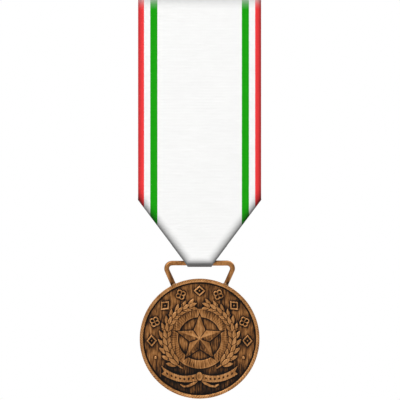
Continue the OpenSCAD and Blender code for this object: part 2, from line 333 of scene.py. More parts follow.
def sewing_thread():
    """Off-white cotton, with painted shade in the groove between its plies."""
    f = Finish("sewing_thread")
    fibres = f.noise(0.09, detail=3.0, roughness=0.7)
    hollow = f.kept("hollow")
    return f.surface(
        Base_Color=f.mixed(hollow, (0.90, 0.89, 0.86), (0.46, 0.44, 0.40)),
        Roughness=f.eased(fibres, 0.2, 0.8, start=0.6, end=0.8),
        Sheen_Weight=0.2,
        Normal=f.bump(fibres, depth=0.02),
    )


def studio_floor():
    """Pale matt paper."""
    f = Finish("studio_floor")
    clouds = f.noise(90.0, detail=2.0)
    return f.surface(
        Base_Color=f.mixed(clouds, (0.86, 0.86, 0.855), (0.89, 0.89, 0.885)),
        Roughness=0.9,
        Specular_IOR_Level=0.2,
    )


# ---------------------------------------------------------------- mesh tools


def eased(t):
    """0 to 1 with soft ends."""
    t = np.clip(t, 0, 1)
    return t * t * (3 - 2 * t)


def dressed(mesh, finish, **kept):
    """An object of the mesh with its finish. kept gives numbers that it keeps for each point."""
    for key, numbers in kept.items():
        attribute = mesh.attributes.new(key, "FLOAT", "POINT")
        attribute.data.foreach_set("value", np.asarray(numbers, np.float32))
    mesh.materials.append(finish.material)
    mesh.shade_smooth()
    thing = bpy.data.objects.new(mesh.name, mesh)
    bpy.context.scene.collection.objects.link(thing)
    return thing


def mesh_object(name, points, faces, finish, **kept):
    """A dressed object from points in millimetres."""
    mesh = bpy.data.meshes.new(name)
    mesh.from_pydata((np.asarray(points, float) * MM).tolist(), [], faces)
    return dressed(mesh, finish, **kept)


def joined(*shapes):
    """Points, faces and kept numbers of several shapes as those of one."""
    points, faces, kept, count = [], [], [], 0
    for shape_points, shape_faces, shape_kept in shapes:
        points.append(shape_points)
        faces += [[i + count for i in face] for face in shape_faces]
        kept.append(shape_kept)
        count += len(shape_points)
    return np.concatenate(points), faces, np.concatenate(kept)


def fitted(thing, body, slot, *nodes):
    """Puts a finished piece on its body in place of those nodes. The slot is not used."""
    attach(thing, body)
    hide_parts(*nodes)


def swept(path, radius, sides):
    """A closed tube along a path, whose section is radius(distance, angle).

    Gives its points and faces, and the distances and angles that they stand at.
    """
    path = np.asarray(path, float)
    heading = np.gradient(path, axis=0)
    heading /= np.linalg.norm(heading, axis=1)[:, None]
    distance = np.r_[0, np.cumsum(np.linalg.norm(np.diff(path, axis=0), axis=1))]
    any_way = (0.3, 0.9, 0.2)  # not along the path's start
    side = np.cross(heading[0], any_way)
    sides_x, sides_y = [], []
    for direction in heading:
        side = side - direction * np.dot(side, direction)
        side /= np.linalg.norm(side)
        sides_x.append(side)
        sides_y.append(np.cross(direction, side))
    angle = np.arange(sides) * TURN / sides
    reach = radius(distance[:, None], angle[None, :])
    x, y = np.array(sides_x)[:, None, :], np.array(sides_y)[:, None, :]
    ring = path[:, None, :] + reach[..., None] * (
        np.cos(angle)[None, :, None] * x + np.sin(angle)[None, :, None] * y
    )
    rows = len(path)
    faces = []
    for i in range(rows - 1):
        for j in range(sides):
            k = (j + 1) % sides
            faces.append([i * sides + j, i * sides + k, (i + 1) * sides + k, (i + 1) * sides + j])
    for row, end, flip in ((0, rows * sides, True), (rows - 1, rows * sides + 1, False)):
        for j in range(sides):
            pair = [row * sides + j, row * sides + (j + 1) % sides]
            faces.append([*(pair[::-1] if flip else pair), end])
    points = np.concatenate([ring.reshape(-1, 3), path[:1], path[-1:]])
    return points, faces, distance, angle


# ---------------------------------------------------------------- the struck disc

NET_STEP, NET_HALF = 0.04, DISC_R
NET = np.arange(-NET_HALF, NET_HALF + NET_STEP / 2, NET_STEP)
FIELD_UP = 0.8  # from the disc's middle plane to the field
RIM_TOP = 0.5  # from the field to the rim
RIM_FROM = 16.87
RIM_CUTS, RIM_CUT_DEPTH, RIM_CUT_SLANT = 140, 0.07, 9
EDGE = 0.10  # the width over which the side of a raised shape falls
# A tuft of a laurel branch: each leaf's turn off the branch, its place across it and its height
LEAVES_OF_A_TUFT = ((0.52, 0.25, 0.22), (-0.52, -0.25, 0.22), (0.03, 0.0, 0.29))
# The scroll
SCROLL_END, KNOT_Y = 11.5, -11.3
PIT_PITCH, PIT_R, PIT_DEPTH = 1.3, 0.38, 0.12


class Relief:
    """Heights of one struck face above its field, on a square net, in millimetres."""

    def __init__(self):
        self.height = np.zeros((len(NET), len(NET)))
        self.facet_shade = np.zeros_like(self.height)  # painted shade on the star's facets that face away from the light above

    def near(self, x, y, reach):
        """The part of the net within reach of a point, with its points' places from that point."""
        rows, columns = (slice(*np.searchsorted(NET, (c - reach, c + reach))) for c in (y, x))
        across, up = np.meshgrid(NET[columns] - x, NET[rows] - y)
        return (rows, columns), across, up

    def lay(self, part, distance, top, moat=0.14, floor=0.0):
        """Lays a shape over what is there: distance is below zero inside it. A moat is cut round it."""
        ground = self.height[part]
        ground = ground + (np.minimum(ground, floor) - ground) * eased(1 - distance / moat)
        cover = eased(0.5 - distance / EDGE)
        self.height[part] = ground * (1 - cover) + top * cover

    def stroke(self, points, width, top, taper=1.0):
        """A raised line along points; its width at the far end is taper times that at the first."""
        points = np.asarray(points, float)
        part, across, up = self.near(*points.mean(0), np.ptp(points, axis=0).max() + width)
        across, up = across + points[:, 0].mean(), up + points[:, 1].mean()
        best = np.full(across.shape, np.inf)
        half = width / 2
        for i, (a, b) in enumerate(zip(points[:-1], points[1:])):
            run = b - a
            t = np.clip(((across - a[0]) * run[0] + (up - a[1]) * run[1]) / (run @ run), 0, 1)
            gap = np.hypot(across - a[0] - t * run[0], up - a[1] - t * run[1])
            share = (i + t) / (len(points) - 1)
            best = np.minimum(best, gap - half * (1 + (taper - 1) * share))
        crown = np.clip(1 + best / half, 0, 1)
        self.lay(part, best, top - 0.09 * crown**2)

    def leaf(self, x, y, heading, length, width, level):
        """A pointed leaf from its foot at x, y, with a midrib and veins."""
        part, across, up = self.near(x, y, length * 1.1)
        along = across * math.cos(heading) + up * math.sin(heading)
        side = np.abs(up * math.cos(heading) - across * math.sin(heading))
        t = np.clip(along / length, 0, 1)
        half = width / 2 * np.sin(np.pi * t**0.85) ** 0.8 + 1e-3
        distance = np.maximum(side - half, np.abs(along - length / 2) - length / 2)
        top = level + 0.10 * (1 - (side / half) ** 2) - 0.09 * np.exp(-((side / 0.08) ** 2))
        veins = 0.5 + 0.5 * np.cos(TURN * (along - 0.9 * side) / 0.5)
        top = top - 0.045 * veins * eased(side / half * 2)
        self.lay(part, distance, np.maximum(top, level - 0.1))

    def pellet(self, x, y, r, top):
        """A small round boss."""
        part, across, up = self.near(x, y, r * 2)
        gap = np.hypot(across, up)
        self.lay(part, gap - r, top * np.sqrt(np.clip(1.15 - (gap / r) ** 2, 0.15, 1)))

    def star(self, tip, notch, low, high):
        """A five-pointed star of flat facets, from low at its outline to high in the middle."""
        part, across, up = self.near(0, 0, tip + 1)
        fifth = TURN / 5
        turn = np.mod(np.arctan2(across, up), fifth)
        turn = np.minimum(turn, fifth - turn)
        r = np.hypot(across, up)
        out, off = r * np.cos(turn), r * np.sin(turn)
        run = (notch * math.cos(fifth / 2) - tip, notch * math.sin(fifth / 2))
        distance = ((out - tip) * run[1] - off * run[0]) / math.hypot(*run)
        deepest = -tip * run[1] / math.hypot(*run)
        top = low + (high - low) * distance / deepest
        valley = np.where(turn > fifth / 4, r * np.sin(fifth / 2 - turn), 1.0)
        lines = np.exp(-((off / EDGE) ** 2)) + np.exp(-((valley / EDGE) ** 2))
        self.lay(part, distance, top - 0.11 * lines * eased(r), moat=0.34, floor=-0.16)
        # Painted shade: the facets that face down, away from the light above, are darkened.
        arm = fifth * np.round(np.arctan2(across, up) / fifth)
        clockwise = np.sign(np.arctan2(across, up) - arm)
        faces_up = (run[1] * np.cos(arm) + run[0] * clockwise * np.sin(arm)) / math.hypot(*run)
        self.facet_shade[part] += 0.62 * eased(0.5 - faces_up) * (distance < 0)

    def ring(self, r_out, r_in, level):
        """A flat ring of fine rays with a lip along both of its edges."""
        part, across, up = self.near(0, 0, NET_HALF)
        r = np.hypot(across, up)
        distance = np.maximum(r - r_out, r_in - r)
        rays = 0.5 + 0.5 * np.cos(72 * np.arctan2(up, across))
        lip = eased((distance + 0.34) / 0.1)
        self.height[part] -= 0.1 * eased((r_in - r) / 0.2)
        self.lay(part, distance, level + 0.07 * lip + 0.025 * rays * (1 - lip))

    def branch(self, side, r, first, last, count, leaf_l, leaf_w):
        """A laurel branch that grows along a circle, from the angle first to last, on one side."""
        first, last = math.radians(first), math.radians(last)
        arc = np.linspace(first - 0.16, last, 40)
        self.stroke(np.c_[side * r * np.cos(arc), r * np.sin(arc)], width=0.5, top=0.2, taper=0.5)
        for i in reversed(range(count)):
            turn = first + (last - first) * i / (count - 1)
            size = 1 - 0.22 * i / count
            for tilt, shift, level in LEAVES_OF_A_TUFT:
                x, y = (r + shift) * math.cos(turn), (r + shift) * math.sin(turn)
                heading = turn + math.pi / 2 - tilt
                if side < 0:
                    heading = math.pi - heading
                self.leaf(side * x, y, heading, leaf_l * size, leaf_w * size, level)
            if i % 2:
                out = r + 1.25
                self.pellet(side * out * math.cos(turn + 0.06), out * math.sin(turn + 0.06), 0.24, 0.26)

    def device(self, x, y, turn, reach, outside, line):
        """A raised outline round a pellet. outside(a, b) is how far a point lies outside the shape."""
        part, across, up = self.near(x, y, reach)
        a = np.abs(across * math.cos(turn) + up * math.sin(turn))
        b = np.abs(up * math.cos(turn) - across * math.sin(turn))
        distance = np.abs(outside(a, b)) - line / 2
        self.lay(part, distance, 0.34 - 0.1 * np.clip(1 + distance / line * 2, 0, 1) ** 2)
        self.pellet(x, y, r=0.26, top=0.26)

    def lozenge(self, x, y, turn):
        self.device(x, y, turn, 2.7, lambda a, b: (a * 1.15 + b - 1.5) / 1.52, line=0.46)

    def quatrefoil(self, x, y, turn):
        def lobes(a, b):
            return np.minimum(np.hypot(a - 0.78, b), np.hypot(a, b - 0.78)) - 0.62

        self.device(x, y, turn, 2.2, lobes, line=0.42)

    def scroll(self):
        """A scroll in two sagging halves with a row of pits, a knot between them and tails below."""
        for side in (-1, 1):
            tail = [(0.5, -12.0), (1.6, -13.3), (3.2, -14.2), (4.7, -14.4), (5.6, -13.8)]
            self.stroke([(side * x, y) for x, y in tail], width=1.0, top=0.26, taper=0.45)
        part, across, up = self.near(0, 0, NET_HALF)
        x = np.abs(across)
        middle = -11.25 - 0.42 * x + 0.051 * x * x
        off = (up - middle) / np.hypot(1, -0.42 + 0.102 * x)
        half = 0.98
        distance = np.maximum(np.abs(off) - half, x - SCROLL_END + 0.8 * (1 - np.abs(off) / half))
        lip = eased((np.abs(off) - half + 0.3) / 0.1)
        wave = 0.05 * np.cos(0.85 * x + 0.6)
        from_pit = np.hypot(np.mod(x, PIT_PITCH) - PIT_PITCH / 2, off)
        pits = eased((PIT_R - from_pit) / 0.16) * (x > PIT_PITCH) * (x < 8 * PIT_PITCH)
        self.lay(part, distance, 0.25 + 0.09 * lip + wave - PIT_DEPTH * pits, moat=0.22)
        part, across, up = self.near(0, KNOT_Y, 2.4)
        distance = np.hypot(across, up / 1.3) - 1
        folds = 0.05 * np.cos(TURN * across / 0.42 * (1 + 0.1 * np.abs(up)))
        self.lay(part, distance, 0.37 + folds + 0.12 * np.clip(distance, -0.6, 0))

    def rim(self):
        """The raised rim with fine slanting cuts, and the groove inside it."""
        across, up = np.meshgrid(NET, NET)
        r = np.hypot(across, up)
        turn = np.arctan2(up, across)
        self.height -= 0.09 * eased((r - 16.5) / 0.1)
        cuts = RIM_CUT_DEPTH * np.cos(RIM_CUTS * turn + RIM_CUT_SLANT * (r - 17))
        rise = eased((r - RIM_FROM) / 0.22)
        self.height = self.height * (1 - rise) + (RIM_TOP + cuts - RIM_CUT_DEPTH) * rise
        return self

    def finished(self):
        """How dark each place is, from patina in the relief's recesses and from painted shade, how
        rubbed it is less the painted facet shade, and its height.
        """
        height = blurred(self.height, 0.04)
        hollow = 4.8 * (blurred(height, 0.16) - height) + 2.2 * (blurred(height, 0.6) - height)
        across, up = np.meshgrid(NET, NET)
        # Painted shade on the low field, stronger towards the bottom of the disc.
        low_field_shade = 0.16 * eased((-up - 5) / 6) * eased(1 - height / 0.1)
        return np.clip(hollow, -0.08, 0.85) + low_field_shade + 0.2 * self.facet_shade, height - self.facet_shade, height


def blurred(grid, radius):
    """The net smoothed over about radius millimetres."""
    reach = int(math.ceil(3 * radius / NET_STEP))
    weights = np.exp(-0.5 * (np.arange(-reach, reach + 1) * NET_STEP / radius) ** 2)
    weights /= weights.sum()
    size = len(grid)
    for axis in (0, 1):
        pad = [(reach, reach) if a == axis else (0, 0) for a in (0, 1)]
        padded = np.pad(grid, pad, mode="edge")
        grid = sum(
            w * (padded[i : i + size] if axis == 0 else padded[:, i : i + size])
            for i, w in enumerate(weights)
        )
    return grid


def sampled(grid, x, y):
    """The net's value at any points."""
    inside = NET_HALF - 0.01
    i, j = ((np.clip(c, -inside, inside) + NET_HALF) / NET_STEP for c in (y, x))
    i0, j0 = i.astype(int), j.astype(int)
    fi, fj = i - i0, j - j0
    return (
        grid[i0, j0] * (1 - fi) * (1 - fj)
        + grid[i0 + 1, j0] * fi * (1 - fj)
        + grid[i0, j0 + 1] * (1 - fi) * fj
        + grid[i0 + 1, j0 + 1] * fi * fj
    )


DEVICES_R, DEVICES_STEP, LAST_PELLET = 14.4, 23.1, 113.2  # the devices' ring, with its angles


def obverse():
    """A star on a ring of rays, two laurel branches, a scroll and nine devices round the top."""
    face = Relief()
    face.ring(r_out=9.0, r_in=6.5, level=0.12)
    face.star(tip=7.3, notch=3.1, low=0.03, high=0.74)
    for side in (-1, 1):
        face.branch(side, r=10.3, first=-50, last=71, count=11, leaf_l=3.5, leaf_w=1.38)
    face.scroll()
    for i in range(-4, 5):
        turn = math.radians(90 + i * DEVICES_STEP)
        x, y = DEVICES_R * math.cos(turn), DEVICES_R * math.sin(turn)
        (face.quatrefoil if i % 2 else face.lozenge)(x, y, turn)
    for side in (-1, 1):
        turn = math.radians(90 + side * LAST_PELLET)
        face.pellet(DEVICES_R * math.cos(turn), DEVICES_R * math.sin(turn), r=0.45, top=0.34)
    return face.rim().finished()


# The reverse: the loop and the end of its bow, on the right, and the tablet with its corners' radius
BOW_LOOP = ((0, -12.4), (1.1, -11.6), (2.1, -12.0), (1.5, -12.9), (0, -12.5))
BOW_END = ((0, -12.6), (0.8, -13.8), (1.9, -14.7))
TABLET_HALF_W, TABLET_HALF_H, TABLET_CORNER = 6.2, 2.5, 0.6


def reverse():
    """Two laurel branches tied with a bow, and a plain tablet."""
    face = Relief()
    for side in (-1, 1):
        face.branch(side, r=12.0, first=-64, last=66, count=12, leaf_l=3.9, leaf_w=1.6)
        face.stroke([(side * x, y) for x, y in BOW_LOOP], width=0.5, top=0.3)
        face.stroke([(side * x, y) for x, y in BOW_END], width=0.7, top=0.28, taper=0.7)
    face.pellet(0, -12.5, r=0.6, top=0.36)
    part, across, up = face.near(0, 0, 9)
    past_x = np.abs(across) - TABLET_HALF_W + TABLET_CORNER
    past_y = np.abs(up) - TABLET_HALF_H + TABLET_CORNER
    corner = np.hypot(np.maximum(past_x, 0), np.maximum(past_y, 0))
    distance = np.where(corner > 0, corner, np.maximum(past_x, past_y)) - TABLET_CORNER
    lip = eased((distance + 0.5) / 0.14)
    face.lay(part, distance, 0.2 + 0.12 * lip, moat=0.25)
    return face.rim().finished()


# The disc's mesh: its faces' rings and sectors, and the radius where the faces meet the edge
RINGS, SECTORS, FACE_R = 106, 8, 17.84
EDGE_HALF, EDGE_ROUND_R, EDGE_ROUND_Y = 1.24, 0.04, 0.12


def disc_face(grids, front):
    """One face as a net whose ring k has SECTORS * k points: points, triangles, patina with painted
    shade, and height less the painted facet shade.
    """
    x, y, triangles = [np.zeros(1)], [np.zeros(1)], []
    inner_start, inner_count = 0, 1
    for k in range(1, RINGS + 1):
        outer_start, outer_count = inner_start + inner_count, SECTORS * k
        turn = TURN * np.arange(outer_count) / outer_count
        x.append(FACE_R * k / RINGS * np.cos(turn))
        y.append(FACE_R * k / RINGS * np.sin(turn))
        sector, j = np.divmod(np.arange(outer_count), k)
        outer, next_outer = (
            outer_start + np.mod(sector * k + j + step, outer_count) for step in (0, 1)
        )
        inner, next_inner = (
            inner_start + np.mod(sector * (k - 1) + j + step, inner_count) for step in (0, 1)
        )
        triangles.append(np.c_[outer, next_outer, inner])
        triangles.append(np.c_[inner, next_outer, next_inner][j < k - 1])
        inner_start, inner_count = outer_start, outer_count
    x, y, triangles = np.concatenate(x), np.concatenate(y), np.concatenate(triangles)
    seen_x = x if front else -x
    # rubbed is the height less the painted shade on the star's downward facets.
    hollow, rubbed, height = (sampled(grid, seen_x, y) for grid in grids)
    depth = FIELD_UP + height
    points = np.c_[x, -depth if front else depth, y]
    return points, triangles if front else triangles[:, ::-1], hollow, rubbed


def struck_disc(finish):
    """Both faces and the disc's edge, as one closed mesh."""
    front = disc_face(obverse(), front=True)
    back = disc_face(reverse(), front=False)
    around = SECTORS * RINGS
    j = np.arange(around)
    k = (j + 1) % around
    turn = TURN * j / around
    straight = EDGE_HALF - EDGE_ROUND_Y
    profile = [(DISC_R - EDGE_ROUND_R, -EDGE_HALF), (DISC_R, -straight)]
    profile += [(r, -y) for r, y in profile[::-1]]
    walls = [np.c_[r * np.cos(turn), np.full(around, y), r * np.sin(turn)] for r, y in profile]
    back_first = len(front[0]) + len(profile) * around
    rows = [len(front[0]) - around + i * around for i in range(len(profile) + 1)]
    rows.append(back_first + len(back[0]) - around)
    bands = [
        np.concatenate([np.c_[a + j, b + j, a + k], np.c_[a + k, b + j, b + k]])
        for a, b in zip(rows, rows[1:])
    ]
    flat = np.ones(len(profile) * around)
    return mesh_object(
        "struck_disc",
        np.concatenate([front[0], *walls, back[0]]) + (0, RIBBON_Y, DISC_Z),
        np.concatenate([front[1], *bands, back[1] + back_first]).tolist(),
        finish,
        # Patina and painted shade on the faces, and a little patina on the edge.
        hollow=np.concatenate([front[2], 0.05 * flat, back[2]]),
        # The faces' height less the painted shade on the star's downward facets.
        relief=np.concatenate([front[3], RIM_TOP * flat, back[3]]),
    )


# ---------------------------------------------------------------- bail and solder

BEND_X, BEND_R, LEAN = 8.3, 1.6, math.radians(24)
KNEE_X = BEND_X + BEND_R * math.tan((math.pi / 2 + LEAN) / 2)  # where bar and leg would cross
LEG = np.array([-math.sin(LEAN), -math.cos(LEAN)])
LEG_L = 7.425  # from there to the leg's end inside the disc
DISC_DROP = BAR_Z - DISC_Z
WIRE_UNEVEN, UNEVEN_PITCH = 0.045, 22
FILLET_OUT = 0.46


def wire_bail(finish):
    """The bent wire, a little uneven, with its feet inside the disc's edge."""
    bend = np.linspace(math.pi / 2, -LEAN, 22)
    half = [np.c_[np.linspace(0.35, BEND_X, 24), np.zeros(24)]]
    half.append(np.c_[BEND_X + BEND_R * np.cos(bend), -BEND_R + BEND_R * np.sin(bend)][1:])
    start = half[-1][-1]
    end = np.array([KNEE_X, 0]) + LEG_L * LEG
    half.append(start + np.linspace(0, 1, 18)[1:, None] * (end - start))
    right = np.concatenate(half)
    line = np.concatenate([right[::-1] * (-1, 1), [[0, 0]], right])
    path = np.c_[line[:, 0], np.zeros(len(line)), line[:, 1]] + (0, RIBBON_Y, BAR_Z)

    def radius(distance, angle):
        uneven = WIRE_UNEVEN * np.cos(distance * TURN / UNEVEN_PITCH)
        uneven = uneven + 0.010 * np.sin(distance * 1.7 + 1) * np.cos(angle - 0.4 * distance)
        marks = 0.006 * np.sin(5 * angle + 0.8 * np.sin(distance))
        return WIRE_R - 0.004 + uneven + marks

    points, faces, _, _ = swept(path, radius, 28)
    near_foot = eased((points[:, 2] - BAR_Z + 5.2) / -1.3) * 0.22
    inside_bend = eased((np.abs(points[:, 0]) - 7.6) / 0.8) * eased((BAR_Z - points[:, 2]) / 1.0)
    inside_bend = inside_bend * eased((9.5 - np.abs(points[:, 0])) / 1.2) * 0.25
    return mesh_object("wire_bail", points, faces, finish, hollow=near_foot + inside_bend)


def solder_fillets(finish):
    """Concave fillets that run from each leg out onto the disc's edge."""
    shapes = []
    around, rows = 48, 8
    turn = np.arange(around) * TURN / around
    for side in (-1, 1):
        uneven = 1 + 0.10 * np.sin(2 * turn + side) + 0.06 * np.sin(5 * turn + 2 * side)

        def on_disc(r):
            """How far along the leg the disc's edge lies, for lines at radius r round the leg."""
            x = KNEE_X + r * np.cos(turn) * math.cos(LEAN)
            z = DISC_DROP - r * np.cos(turn) * math.sin(LEAN)
            b = x * LEG[0] + z * LEG[1]
            return -b - np.sqrt(b * b - x * x - z * z + DISC_R**2)

        foot = on_disc(WIRE_R)
        t = np.linspace(0, 1, rows)[:, None]
        reach = WIRE_R - 0.02 + FILLET_OUT * uneven * t**2
        edge = on_disc(WIRE_R + 0.44 * uneven)
        along = (foot - 0.5 * uneven) * (1 - t) ** 2 + 2 * (foot - 0.02) * t * (1 - t)
        along = along + (edge + 0.03) * t**2
        reach = np.concatenate([np.full((1, around), 0.5), reach, np.full((1, around), 0.5)])
        along = np.concatenate([along[:1], along, (on_disc(0.5) + 0.25)[None]])
        x = KNEE_X + reach * np.cos(turn) * math.cos(LEAN) + along * LEG[0]
        z = -reach * np.cos(turn) * math.sin(LEAN) + along * LEG[1]
        y = reach * np.sin(turn)
        points = np.stack([side * x, y, z], axis=-1).reshape(-1, 3) + (0, RIBBON_Y, BAR_Z)
        total = rows + 2
        faces = []
        for i in range(total):
            below = (i + 1) % total
            for j in range(around):
                k = (j + 1) % around
                face = [i * around + j, below * around + j, below * around + k, i * around + k]
                faces.append(face if side > 0 else face[::-1])
        shapes.append((points, faces, np.zeros(len(points))))
    points, faces, _ = joined(*shapes)
    return mesh_object("solder_fillets", points, faces, finish)


# ---------------------------------------------------------------- ribbon

HALF_W = SELVEDGE
NECK_HALF, SLOPE = 4.3, math.tan(math.radians(36.9))  # half the width at the bar, and its growth
LEAN_COS = 1 / math.hypot(1, SLOPE)
CORNER_H = (HALF_W - NECK_HALF) / SLOPE
FOLD_R = 0.175  # of the cloth's middle, in a hem
CREASE_IN = 2 * FOLD_R / LEAN_COS
CREASE_TOP = CORNER_H + CREASE_IN / SLOPE
HEM_W = 3.0
CLOTH_T = 0.31
FRONT_Y, OVERLAP_Y, OVERLAP_END = -0.525, 0.875, -5
TOP_R, TOP_Z = 0.7, 4.125
LOOP_R, NECK_H = 1.005, 4.0
LOWEST_Z = BAR_Z - 1.18
TOP_FOLD_FROM = 2.1  # painted shade and sheen grey the cloth above this height, towards its top fold
SHADED_BELOW = -50  # the slanting folds' shade is all below this height


def strip_line():
    """The middle of the cloth's section as y, z, from the overlap's end round to the back layer's."""
    rows = [(OVERLAP_Y, z) for z in np.linspace(OVERLAP_END, TOP_Z, 11)]
    middle = (FRONT_Y + OVERLAP_Y) / 2
    rows += [
        (middle + TOP_R * math.cos(a), TOP_Z + TOP_R * math.sin(a))
        for a in np.linspace(0, math.pi, 13)[1:]
    ]
    crease_z, neck_z = BAR_Z + CREASE_TOP, BAR_Z + NECK_H
    down = np.r_[np.linspace(TOP_Z, crease_z, 44)[1:], np.linspace(crease_z, neck_z, 40)[1:]]
    rows += [(FRONT_Y, z) for z in down]
    touch = math.atan2(NECK_H, -FRONT_Y) - math.acos(LOOP_R / math.hypot(FRONT_Y, NECK_H))
    arc = np.linspace(math.pi - touch, 2 * math.pi + touch, 25)
    loop = [(LOOP_R * math.cos(a), BAR_Z + LOOP_R * math.sin(a)) for a in arc]
    neck = [
        tuple(np.array((FRONT_Y, neck_z)) * (1 - t) + np.array(loop[0]) * t)
        for t in np.linspace(0, 1, 9)[1:-1]
    ]
    rows += neck + loop + [(-y, z) for y, z in neck[::-1]]
    rows += [(-FRONT_Y, z) for z in down[::-1]] + [(-FRONT_Y, TOP_Z)]
    return np.array(rows)


def folded_ribbon(finish):
    """The strip, folded row by row, with hems turned in along its slanting edges.

    Gives the piece, the strip's flat size and its flat area.
    """
    line = strip_line()
    along = np.r_[0, np.cumsum(np.linalg.norm(np.diff(line, axis=0), axis=1))]
    normal = np.array([LEAN_COS, -SLOPE * LEAN_COS])
    half_turn = math.pi * FOLD_R
    points, flat, crease, faded = [], [], [], []
    inner = np.linspace(-1, 1, 47)
    for (y, z), s in zip(line, along):
        h = z - BAR_Z
        in_layer = abs(abs(y) - abs(FRONT_Y)) < 1e-9  # not in a fold or in the overlap
        hemmed = in_layer and NECK_H <= h < CREASE_TOP
        hem = eased((h - 5) / 2) if hemmed else 0.0
        reach = (HEM_W + half_turn) * hem
        inset = CREASE_IN * math.sin(min(reach / FOLD_R, math.pi / 2))
        edge = min(HALF_W, NECK_HALF + h * SLOPE - inset)
        reach = min((HALF_W - edge) * LEAN_COS, reach)
        bent = min(reach, half_turn)
        beyond = np.r_[np.linspace(0, bent, 7)[1:], np.linspace(bent, reach, 6)[1:]]
        right = np.concatenate([inner * edge, edge + beyond / LEAN_COS])
        m = np.concatenate([np.zeros(len(inner)), beyond])
        turned = np.minimum(m, half_turn)
        shift = FOLD_R * np.sin(turned / FOLD_R) - np.maximum(m - half_turn, 0) - m
        x = right + normal[0] * shift
        up = z + normal[1] * shift
        depth = FOLD_R * (1 - np.cos(turned / FOLD_R))
        left = np.arange(len(right) - 1, len(inner) - 1, -1)  # the left hem mirrors the right
        x = np.concatenate([-x[left], x])
        flat_x = np.concatenate([-right[left], right])
        up = np.concatenate([up[left], up])
        depth = np.concatenate([depth[left], depth])
        side = 1.0 if y > 0 else -1.0
        wave = 0.045 * (1 + np.sin(0.21 * x + 0.9) * np.cos(0.13 * z + side))
        wave = wave * eased((h - 9) / 12) * eased(-z / 12) * (depth == 0) * in_layer
        points.append(np.c_[x, y - side * depth + side * wave, up])
        flat.append(np.c_[flat_x, np.full(len(x), s)])
        # Painted shade, darkest at the slanting folded edges and just above the loop, fading inwards.
        width = NECK_HALF + (up - BAR_Z) * SLOPE
        slant = np.maximum((width - np.abs(x)) * LEAN_COS, 0)
        low = up - LOWEST_Z
        beside_slant = np.clip(1 - (slant - 0.25) / 2.9, 0, 1) ** 1.9
        above_loop = np.clip(1 - (low - 1.0) / 2.1, 0, 1) ** 1.6
        crease.append(np.maximum(beside_slant, above_loop) * (z < SHADED_BELOW))
        # Painted shade and sheen, growing towards the top fold.
        faded.append(0.58 * np.clip((up - TOP_FOLD_FROM) / 2.1, 0, 1.1))
    rows, columns = len(points), len(points[0])
    points, flat = np.concatenate(points), np.concatenate(flat)
    faces, area = [], 0.0
    for i in range(rows - 1):
        for j in range(columns - 1):
            a = i * columns + j
            faces.append([a, a + 1, a + columns + 1, a + columns])
            (x0, s0), (x1, _), (x2, s2), (x3, _) = (flat[k] for k in faces[-1])
            area += 0.5 * abs((x1 - x0) + (x2 - x3)) * abs(s2 - s0)
    points[:, 1] += RIBBON_Y
    kept = {"across": flat[:, 0], "along": flat[:, 1]}
    kept |= {"crease": np.concatenate(crease), "faded": np.concatenate(faded)}
    ribbon = mesh_object("folded_ribbon", points, faces, finish, **kept)
    merged(ribbon, 2e-4 * MM)
    thicken = ribbon.modifiers.new("cloth", "SOLIDIFY")
    thicken.thickness, thicken.offset = CLOTH_T * MM, 0.0
    applied(ribbon)
    return ribbon, (2 * HALF_W * MM, along[-1] * MM), area * MM**2


def merged(thing, distance):
    """Joins points that lie in one place, and drops faces that have no area."""
    bm = bmesh.new()
    bm.from_mesh(thing.data)
    bmesh.ops.remove_doubles(bm, verts=bm.verts, dist=distance)
    bmesh.ops.dissolve_degenerate(bm, edges=bm.edges, dist=distance)
    bm.to_mesh(thing.data)
    bm.free()


def applied(thing):
    """Turns the object's modifiers into plain mesh."""
    bpy.context.view_layer.update()
    evaluated = thing.evaluated_get(bpy.context.evaluated_depsgraph_get())
    mesh = bpy.data.meshes.new_from_object(evaluated)
    thing.modifiers.clear()
    thing.data = mesh


# ---------------------------------------------------------------- sewing

THREAD_R, TWIST_PITCH = 0.19, 1.1
# The brooch's sewing holes, and the depths where its threads start in the cloth and cross the plate
HOLES_X, SEWN_Y, CROSSING_Y = (-6.875, -0.75, 5.375), -2.62, -1.70
# The seams: how many stitches, how far apart, how long, at what depth, and where
OVERLAP_COUNT, OVERLAP_PITCH, OVERLAP_L, OVERLAP_SEAM_Y, OVERLAP_SEAM_Z = 14, 2.5, 1.5, -2.5, -4.3
EDGE_COUNT, EDGE_PITCH, EDGE_L, EDGE_SEAM_Y, EDGE_FROM_H, EDGE_IN = 5, 2.2, 1.4, -2.85, 7, 1.6


def thread(path):
    """Two plies twisted together along a path, thinner at its ends: points, faces, and the painted
    shade between the plies.
    """
    path = np.asarray(path, float)
    length = np.linalg.norm(np.diff(path, axis=0), axis=1).sum()

    def on_ply(distance, angle):
        return np.abs(np.cos(angle - TURN * distance / TWIST_PITCH))

    def radius(distance, angle):
        end = eased(np.minimum(distance, length - distance) / 0.2)
        return THREAD_R * (0.72 + 0.28 * on_ply(distance, angle)) * (0.75 + 0.25 * end)

    points, faces, distance, angle = swept(path, radius, 12)
    # Painted shade in the groove between the plies.
    hollow = (1 - on_ply(distance[:, None], angle[None, :])) ** 2
    return points, faces, np.r_[hollow.ravel(), 0.5, 0.5]


def rounded(corners, r, steps=5):
    """A path through corners with each inner corner rounded."""
    corners = [np.array(c, float) for c in corners]
    path = [corners[0]]
    for a, b, c in zip(corners, corners[1:], corners[2:]):
        into, out = (a - b) / np.linalg.norm(a - b), (c - b) / np.linalg.norm(c - b)
        for t in np.linspace(0, 1, steps):
            path.append(b + into * r * (1 - t) ** 2 + out * r * t**2)
    path.append(corners[-1])
    dense = []
    for a, b in zip(path, path[1:]):
        count = max(1, int(np.linalg.norm(b - a) / 0.14))
        dense += [a + (b - a) * i / count for i in range(count)]
    return np.array(dense + [path[-1]])


def sewn(name, shapes, finish):
    """One piece made of several threads."""
    points, faces, hollow = joined(*shapes)
    return mesh_object(name, points, faces, finish, hollow=hollow)


